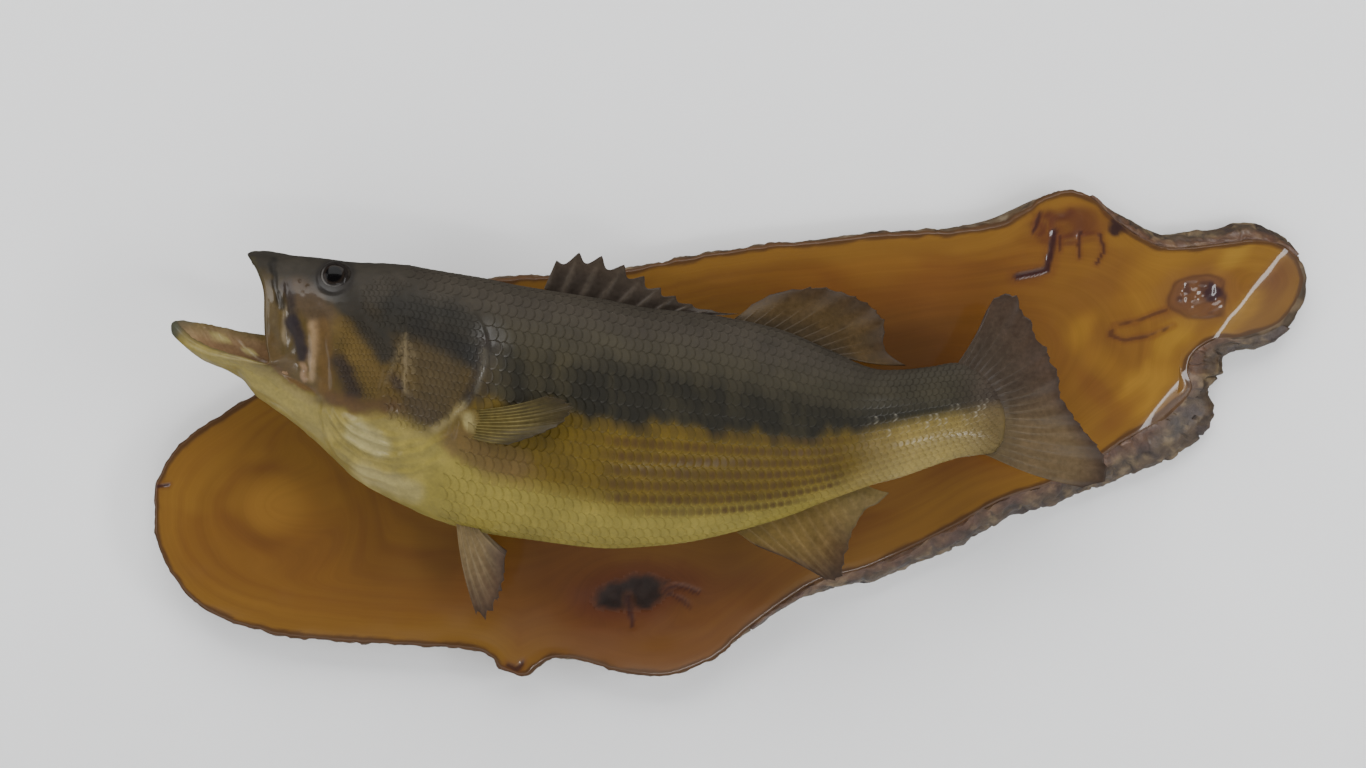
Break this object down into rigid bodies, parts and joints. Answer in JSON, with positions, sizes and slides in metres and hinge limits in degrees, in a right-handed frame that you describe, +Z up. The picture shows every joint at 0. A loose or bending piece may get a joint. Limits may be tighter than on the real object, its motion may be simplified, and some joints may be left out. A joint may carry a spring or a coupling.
{
  "type": "mounted largemouth bass on a live-edge board",
  "caption": "Open-mouthed largemouth bass, a still taxidermy mount, fixed to the face of a varnished live-edge wooden wall board with strips of bark.",
  "frame": {"origin": "on the board's flat back face, behind the trunk of the fish", "axes": "+X towards the tail, along the board; +Y into the wall, square to the board's back; +Z up as it hangs"},
  "size_m": [0.7481, 0.1259, 0.3152],
  "materials": {
    "board": "glossy varnish over orange-brown heartwood with golden margins",
    "bark": "rough grey-brown bark, matt",
    "head_skin": "lacquered fish skin, olive and bronze with dark bars",
    "trunk_skin": "lacquered scaled skin, dark back, dark side band, cream belly",
    "fins": "dried ribbed fin membrane, satin",
    "mouth_lining": "lacquered cream mouth lining",
    "eyes": "glossy dark glass eye"
  },
  "bodies": {
    "root": {"board_wood": "board", "bark_lower": "bark", "bark_upper": "bark", "upper_jaw": "head_skin", "lower_jaw": "head_skin", "head": "head_skin", "gill_cover_near": "head_skin", "gill_cover_far": "head_skin", "trunk_front": "trunk_skin", "trunk_rear": "trunk_skin", "tail_stalk": "trunk_skin", "dorsal_fin_spiny": "fins", "dorsal_fin_soft": "fins", "anal_fin": "fins", "caudal_fin": "fins", "pelvic_fin_near": "fins", "pelvic_fin_far": "fins", "pectoral_fin_near": "fins", "pectoral_fin_far": "fins", "tongue": "mouth_lining", "eye_near": "eyes", "eye_far": "eyes"}
  },
  "joints": []
}
